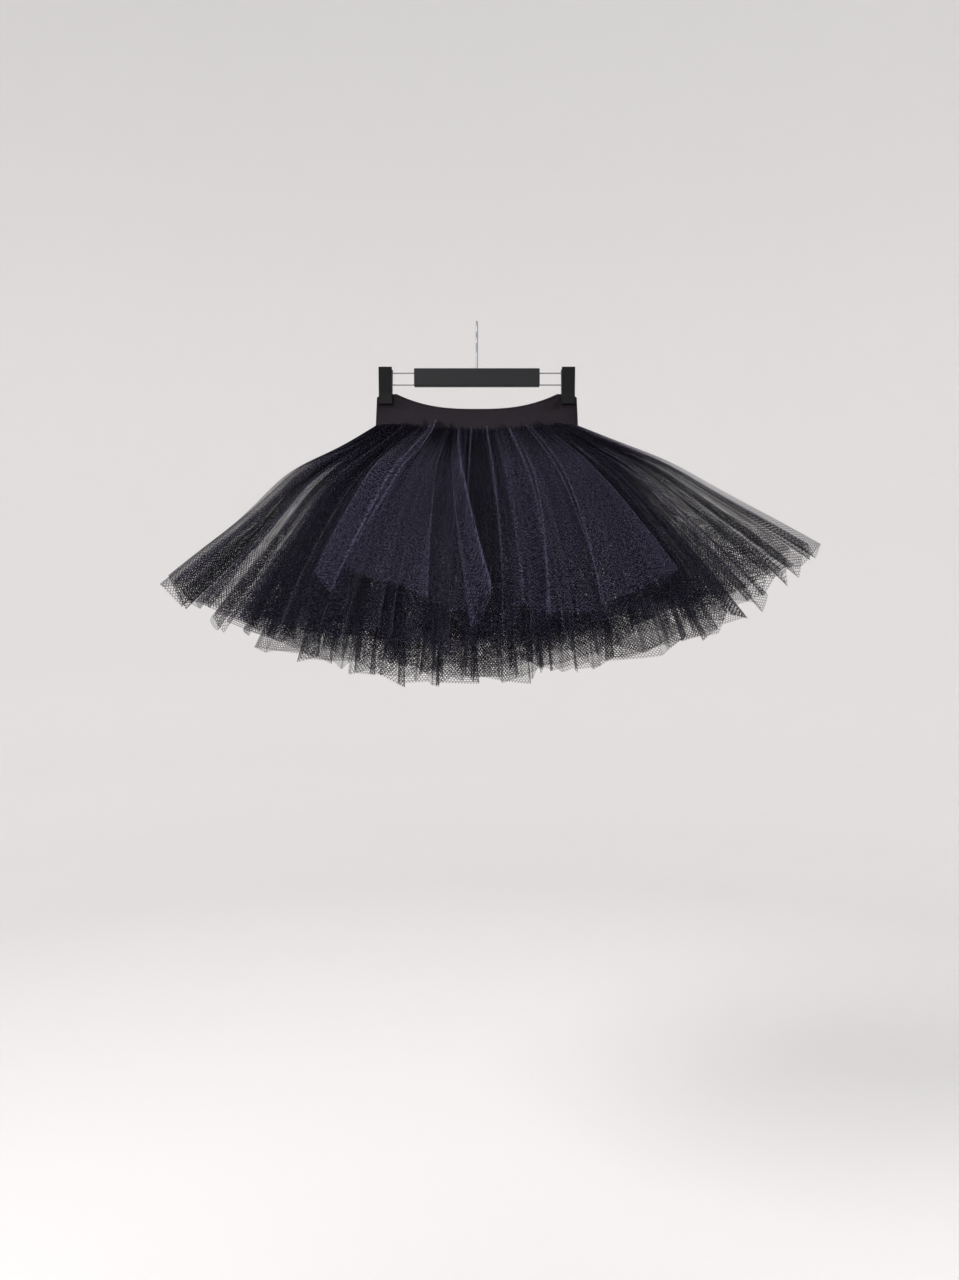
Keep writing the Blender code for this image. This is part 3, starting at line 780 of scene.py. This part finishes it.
def set_cut(piece, layer, width):
    """Scales a sheet's UV map to its cut in metres, and stores how far its threads close up."""
    mesh = piece.data
    uvs = np.zeros(len(mesh.loops) * 2, np.float32)
    mesh.uv_layers["cut"].data.foreach_get("uv", uvs)
    uvs = uvs.reshape(-1, 2)
    corner = np.zeros(len(mesh.loops), np.int32)
    mesh.loops.foreach_get("vertex_index", corner)
    shares = np.zeros((len(mesh.vertices), 2), np.float32)
    shares[corner] = uvs
    line = hem_line(layer)
    # At the seam the cloth is bunched, and at a fold's edge it is seen from its side
    bunched = BUNCHED_CLOSING * (1 - smooth_step(shares[:, 1] / BUNCHED_BY))
    edge = EDGE_CLOSING * np.interp(shares[:, 0], line.share, line.edge, period=1)
    closing = mesh.attributes.new("closing", "FLOAT", "POINT")
    closing.data.foreach_set("value", np.maximum(bunched, edge).astype(np.float32))
    # A painted highlight: fold crests are marked, so that the net's colour is lightened there
    crest_highlight = mesh.attributes.new("crest_highlight", "FLOAT", "POINT")
    crest_highlight.data.foreach_set("value", edge.astype(np.float32))
    # Painted shade: deep folds, the sheets that lie under others and the bunched seam darken the net's
    # colour
    outward = np.interp(shares[:, 0], line.share, line.outward, period=1)
    outward = outward * smooth_step(shares[:, 1] / FOLD_SHADE_BY)
    painted_shade = mesh.attributes.new("painted_shade", "FLOAT", "POINT")
    depth = np.clip(-outward / FOLD_SHADE_DEPTH, 0, 1) * (1 if layer.name == "outer" else INNER_FOLD_SHADE)
    # Near the seam the cloth is bunched, and painted shade darkens it there
    shade = np.maximum(layer.shade, SHADE_AT_SEAM * (1 - smooth_step(shares[:, 1] / SHADED_BY)))
    painted_shade.data.foreach_set("value", (shade + (1 - shade) * depth).astype(np.float32))
    fall = mesh.attributes.new("fall", "FLOAT", "POINT")
    fall.data.foreach_set("value", shares[:, 1].copy())
    uvs[:, 0] *= width
    uvs[:, 1] *= layer.cut_length
    mesh.uv_layers["cut"].data.foreach_set("uv", uvs.ravel())


class SKIRT_OT_gather_net(bpy.types.Operator):
    """Gather the sheets of net and hang them from the waist seam"""

    bl_idname = "skirt.gather_net"
    bl_label = "Gather the net"

    def execute(self, context):
        sizes = context.scene.skirt_sizes
        material = nylon_net(sizes, context.scene.skirt_colours)
        for layer in LAYERS:
            columns = sizes.columns
            shape = functools.partial(hung_points, layer)
            places = cloth_columns(layer, columns)
            piece = cloth_grid(f"tulle_{layer.name}_net", columns, sizes.rows_down, shape, places)
            width = cut_width(layer)
            set_cut(piece, layer, width)
            dress(piece, material, (f"tulle_{layer.name}",) if layer.has_solid else ())
        return {"FINISHED"}


WALE = 0.0009
# Blender's bands are a twentieth of a full wave apart at a scale of 1
BANDS_PER_WAVE = 20


def stretch_knit(colours):
    """Fine black stretch jersey, matt, with wales 0.9 mm apart drawn from real 0.45 mm ones."""
    look = {"Specular IOR Level": 0.10, "Sheen Weight": 0.015}
    material, tree, shader = new_finish("stretch jersey knit", (*colours.knit, 1.0), 0.86, look)
    place = add_node(tree, "ShaderNodeTexCoord")
    wales = add_node(
        tree,
        "ShaderNodeTexWave",
        {
            "wave_type": "BANDS",
            "bands_direction": "X",
            "Scale": 2 * math.pi / WALE / BANDS_PER_WAVE,
            "Distortion": 0.6,
        },
        {"Vector": place.outputs["Object"]},
    )
    bump = add_node(
        tree,
        "ShaderNodeBump",
        {"Strength": 0.25, "Distance": 0.0002},
        {"Height": wales.outputs["Fac"]},
    )
    tree.links.new(bump.outputs[0], shader.inputs["Normal"])
    return material


BAND_PINCH = 0.0012
BAND_TOP_BOW = 0.0090
BAND_TOP_AT_CLIP = -0.1072
BAND_TOP_SAG = 0.0250
BAND_SAG_POWER = 2.6
BAND_CORNER_DROP = 0.0050
BAND_FREE_HALF_WIDTH = 0.1215
BAND_OPENS_WITHIN = 0.090
BAND_FLAT_SHARE = 0.4
BAND_WALL = 0.0016
CLIP_CENTRE = 0.138
CLIP_HALF_HOLD = 0.010


class BandFold(NamedTuple):
    """A soft fold of the band beside a clip: where it starts and ends, how wide and how deep."""

    start_x: float
    start_down: float
    end_x: float
    end_down: float
    width: float
    depth: float


BAND_FOLDS = (
    BandFold(-0.1280, 0.02, -0.1080, 0.22, 0.0020, 0.0010),
    BandFold(-0.1270, 0.16, -0.1010, 0.34, 0.0024, -0.0008),
    BandFold(-0.1290, 0.34, -0.1120, 0.75, 0.0026, 0.0008),
    BandFold(0.1280, 0.05, 0.1120, 0.30, 0.0020, 0.0009),
    BandFold(0.1290, 0.30, 0.1040, 0.55, 0.0026, -0.0008),
    BandFold(-0.0520, 0.55, -0.0380, 0.98, 0.0034, 0.0006),
    BandFold(0.0310, 0.50, 0.0420, 0.98, 0.0030, -0.0006),
    BandFold(0.0760, 0.60, 0.0840, 0.99, 0.0030, 0.0006),
)
RIM_DOWN = 0.085
RIM_ROLL = 0.0007
RIM_STITCH = 0.0005
STITCH_WIDTH = 0.02
PUCKERS = 96
PUCKER_DEPTH = 0.0007
PUCKERS_FROM = 0.72
PUCKERS_UNEVEN = 0.6
PUCKERS_UNEVEN_WAVES = 11
RELIEF_FREE_FROM = 0.6
RELIEF_FREE_SPAN = 0.3
BAND_LAP = 0.0020
BAND_STACK = 2.0


def band_relief(top_x, around, down, front):
    """How far the band's rim, folds and puckers stand out from its smooth wall."""
    relief = RIM_ROLL * np.sin(math.pi * np.clip(down / RIM_DOWN, 0, 1))
    relief = relief - RIM_STITCH * np.exp(-(((down - RIM_DOWN) / STITCH_WIDTH) ** 2))
    side = np.where(front, 1, -1)
    for fold in BAND_FOLDS:
        along = (down - fold.start_down) / (fold.end_down - fold.start_down)
        line = fold.start_x + (fold.end_x - fold.start_x) * along
        away = (side * top_x - line) / fold.width
        shown = np.sin(math.pi * np.clip(along, 0, 1))
        relief = relief + fold.depth * shown * np.exp(-(away**2))
    puckered = smooth_step((down - PUCKERS_FROM) / (1 - PUCKERS_FROM))
    uneven = 1 + PUCKERS_UNEVEN * np.sin(2 * math.pi * PUCKERS_UNEVEN_WAVES * around)
    return relief + PUCKER_DEPTH * puckered * uneven * np.sin(2 * math.pi * PUCKERS * around)


def band_shape(around, down):
    """The middle of the band's wall, pinched flat under the clips and open between them."""
    front = around < 0.5
    across = np.where(front, around, 1 - around) * 2
    top_x = BAND_HALF_WIDTH * (1 - 2 * across)
    from_end = BAND_HALF_WIDTH - np.abs(top_x)
    free = np.clip(np.abs(top_x) / BAND_FREE_HALF_WIDTH, 0, 1)
    pinched = BAND_PINCH * np.sqrt(np.clip(1 - (1 - from_end / BAND_PINCH).clip(0, 1) ** 2, 0, 1))
    side = np.where(front, -1, 1)
    top_y = side * (pinched + BAND_TOP_BOW * (1 - free**2))
    corner = np.clip(1 - from_end / (BAND_HALF_WIDTH - CLIP_CENTRE), 0, 1)
    top_z = BAND_TOP_AT_CLIP - BAND_TOP_SAG * (1 - free**BAND_SAG_POWER) - BAND_CORNER_DROP * corner**2
    bottom_x, bottom_y, net_z = seam_line(BAND_STACK, around).T
    bottom_z = net_z - BAND_LAP
    turning_flat = BAND_FREE_HALF_WIDTH - BAND_OPENS_WITHIN
    near_clip = np.clip((np.abs(top_x) - BAND_OPENS_WITHIN) / turning_flat, 0, 1)
    opened_late = np.clip((down - BAND_FLAT_SHARE) / (1 - BAND_FLAT_SHARE), 0, 1)
    opened = down + (opened_late - down) * near_clip
    # Under a clip the band is held flat, so it has no relief there
    held = smooth_step((CLIP_CENTRE - CLIP_HALF_HOLD - np.abs(top_x)) / CLIP_HALF_HOLD)
    free_below = smooth_step((down - RELIEF_FREE_FROM) / RELIEF_FREE_SPAN)
    relief = band_relief(top_x, around, down, front) * np.maximum(held, free_below)
    return np.stack(
        [
            top_x + (bottom_x - top_x) * down,
            top_y + (bottom_y - top_y) * opened + side * relief,
            top_z + (bottom_z - top_z) * down,
        ],
        axis=-1,
    )


BAND_COLUMNS = 900
BAND_ROWS = 40


class SKIRT_OT_fit_waistband(bpy.types.Operator):
    """Fit the stretch knit waistband"""

    bl_idname = "skirt.fit_waistband"
    bl_label = "Fit the waistband"

    def execute(self, context):
        piece = cloth_grid("waistband_knit", BAND_COLUMNS, BAND_ROWS, band_shape)
        wall = piece.modifiers.new("wall", "SOLIDIFY")
        wall.thickness = BAND_WALL
        wall.offset = 0
        dress(piece, stretch_knit(context.scene.skirt_colours), ("waistband",))
        return {"FINISHED"}


def moulded_plastic(name, colour, roughness, gloss):
    """Moulded black plastic, satin, with a fine grain from its tool."""
    look = {"Specular IOR Level": gloss}
    material, tree, shader = new_finish(name, linear(colour), roughness, look)
    place = add_node(tree, "ShaderNodeTexCoord")
    grain = add_node(
        tree, "ShaderNodeTexNoise", {"Scale": 1400.0, "Detail": 3.0}, {"Vector": place.outputs["Object"]}
    )
    bump = add_node(
        tree, "ShaderNodeBump", {"Strength": 0.12, "Distance": 0.0003}, {"Height": grain.outputs["Fac"]}
    )
    tree.links.new(bump.outputs[0], shader.inputs["Normal"])
    return material, tree, shader


# Painted shade: the bar's colour turns near black in a thin strip along its underside
BAR_UNDERSIDE = -0.0955
BAR_SHADE_HEIGHT = 0.0010
BAR_COLOUR = "#1b1b1d"
BAR_SHADE_COLOUR = "#040405"


def bar_finish():
    """The bar's moulded plastic, with painted shade as a dark strip along its underside."""
    material, tree, shader = moulded_plastic("moulded black bar plastic", BAR_COLOUR, 0.45, 0.22)
    place = add_node(tree, "ShaderNodeTexCoord")
    height = add_node(tree, "ShaderNodeSeparateXYZ", links={0: place.outputs["Object"]})
    above = add_node(
        tree,
        "ShaderNodeMapRange",
        {1: BAR_UNDERSIDE + BAR_SHADE_HEIGHT / 2, 2: BAR_UNDERSIDE + BAR_SHADE_HEIGHT},
        {0: height.outputs[2]},
    )
    face = add_node(
        tree,
        "ShaderNodeMix",
        {"data_type": "RGBA", 6: linear(BAR_SHADE_COLOUR), 7: linear(BAR_COLOUR)},
        {0: above.outputs[0]},
    )
    tree.links.new(face.outputs[2], shader.inputs["Base Color"])
    return material


STEEL_ROUGHNESS = (0.48, 0.58)


def plated_steel():
    """Bright nickel-plated steel wire."""
    bright, dull = STEEL_ROUGHNESS
    material, tree, shader = new_finish("plated steel wire", linear("#8a8a8e"), bright, {"Metallic": 1.0})
    place = add_node(tree, "ShaderNodeTexCoord")
    smears = add_node(
        tree, "ShaderNodeTexNoise", {"Scale": 60.0, "Detail": 2.0}, {"Vector": place.outputs["Object"]}
    )
    dulled = add_node(tree, "ShaderNodeMapRange", {3: bright, 4: dull}, {0: smears.outputs["Fac"]})
    tree.links.new(dulled.outputs[0], shader.inputs["Roughness"])
    return material


class SKIRT_OT_finish_hanger(bpy.types.Operator):
    """Finish the hanger's plastic and steel"""

    bl_idname = "skirt.finish_hanger"
    bl_label = "Finish the hanger"

    def execute(self, context):
        bar_plastic = bar_finish()
        clip_plastic = moulded_plastic("moulded black clip plastic", "#121113", 0.5, 0.12)[0]
        steel = plated_steel()
        for name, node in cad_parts.items():
            if name.startswith("clip_"):
                finish = clip_plastic
            elif name == "hanger_bar":
                finish = bar_plastic
            elif name.startswith("hanger_"):
                finish = steel
            else:
                continue
            node.data.materials.clear()
            node.data.materials.append(finish)
        return {"FINISHED"}


STAGE_FLOOR = -1.60
CAMERA_PLACE = (0.004, -1.459, -0.479)
CAMERA_LENS_MM = 27.1
CAMERA_SENSOR_MM = 36
# The floor's profile as radius and height above its middle: it sweeps up into a wall
FLOOR_PROFILE = ((0.0, 0.0), (3.0, 0.0), (3.6, 0.12), (4.1, 0.45), (4.4, 1.0), (4.5, 1.7), (4.5, 7.0))
FLOOR_STEPS = 64
FLOOR_WELD = 1e-5
STUDIO_AIR = "#f2f3f6"
LIGHTS_AIM = (0.0, 0.0, -0.3)
NET_DEPTH_IN_SHEETS = 20


class Light(NamedTuple):
    """A soft square light: its place, its width in metres and its power in watts."""

    name: str
    place: tuple
    width: float
    power: float


LIGHTS = (
    Light("key", (-1.9, -2.0, 1.7), 1.2, 118),
    Light("fill", (2.4, -1.8, 0.6), 2.0, 32),
    Light("top", (0.0, 0.2, 2.6), 2.0, 22),
)


class SKIRT_OT_set_stage(bpy.types.Operator):
    """Set the pale floor, the soft lights and the camera"""

    bl_idname = "skirt.set_stage"
    bl_label = "Set the stage"

    def execute(self, context):
        scene = context.scene
        sweep = bmesh.new()
        points = [sweep.verts.new((radius, 0, STAGE_FLOOR + height)) for radius, height in FLOOR_PROFILE]
        edges = [sweep.edges.new(pair) for pair in zip(points, points[1:])]
        bmesh.ops.spin(
            sweep,
            geom=points + edges,
            axis=(0, 0, 1),
            cent=(0, 0, 0),
            steps=FLOOR_STEPS,
            angle=2 * math.pi,
            use_merge=True,
        )
        bmesh.ops.remove_doubles(sweep, verts=sweep.verts, dist=FLOOR_WELD)
        bmesh.ops.recalc_face_normals(sweep, faces=sweep.faces)
        mesh = bpy.data.meshes.new("floor")
        sweep.to_mesh(mesh)
        sweep.free()
        mesh.shade_smooth()
        floor = link(bpy.data.objects.new("floor", mesh))
        paint = new_finish("pale matt floor", linear("#dfdddc"), 0.9)[0]
        floor.data.materials.append(paint)
        world = bpy.data.worlds.new("studio air")
        world.use_nodes = True
        background = world.node_tree.nodes["Background"]
        background.inputs["Color"].default_value = linear(STUDIO_AIR)
        background.inputs["Strength"].default_value = 1.0
        scene.world = world
        for light in LIGHTS:
            lamp = bpy.data.lights.new(light.name, "AREA")
            lamp.size = light.width
            lamp.energy = light.power
            placed = link(bpy.data.objects.new(light.name, lamp))
            placed.location = light.place
            aim = np.array(LIGHTS_AIM) - np.array(light.place)
            placed.rotation_euler = Vector(aim).to_track_quat("-Z", "Y").to_euler()
        camera_data = bpy.data.cameras.new("camera")
        camera_data.sensor_width = CAMERA_SENSOR_MM
        camera_data.lens = CAMERA_LENS_MM
        camera = link(bpy.data.objects.new("camera", camera_data))
        camera.location = CAMERA_PLACE
        camera.rotation_euler = (math.pi / 2, 0, 0)
        scene.camera = camera
        # The net lies many sheets deep, and light has to get through all of them
        scene.cycles.transparent_max_bounces = NET_DEPTH_IN_SHEETS
        scene.view_settings.view_transform = "Standard"
        return {"FINISHED"}


class SKIRT_PT_dressing(bpy.types.Panel):
    """Lists the steps that dress the skirt"""

    bl_idname = "SKIRT_PT_dressing"
    bl_label = "Tulle skirt"
    bl_space_type = "VIEW_3D"
    bl_region_type = "UI"
    bl_category = "Skirt"

    def draw(self, context):
        for operator in OPERATORS:
            self.layout.operator(operator.bl_idname)
        for group in (context.scene.skirt_sizes, context.scene.skirt_colours):
            for name in type(group).__annotations__:
                self.layout.prop(group, name)


OPERATORS = (SKIRT_OT_set_stage, SKIRT_OT_fit_waistband, SKIRT_OT_gather_net, SKIRT_OT_finish_hanger)
CLASSES = (SkirtSizes, SkirtColours, *OPERATORS, SKIRT_PT_dressing)


def register():
    """Registers the add-on's classes and its settings."""
    for made in CLASSES:
        bpy.utils.register_class(made)
    bpy.types.Scene.skirt_sizes = PointerProperty(type=SkirtSizes)
    bpy.types.Scene.skirt_colours = PointerProperty(type=SkirtColours)


def unregister():
    """Takes the add-on's classes and its settings away."""
    del bpy.types.Scene.skirt_colours
    del bpy.types.Scene.skirt_sizes
    for made in reversed(CLASSES):
        bpy.utils.unregister_class(made)


def main():
    """Dresses the skirt."""
    register()
    bpy.ops.skirt.set_stage()
    bpy.ops.skirt.fit_waistband()
    bpy.ops.skirt.gather_net()
    bpy.ops.skirt.finish_hanger()


if __name__ == "__main__":
    main()
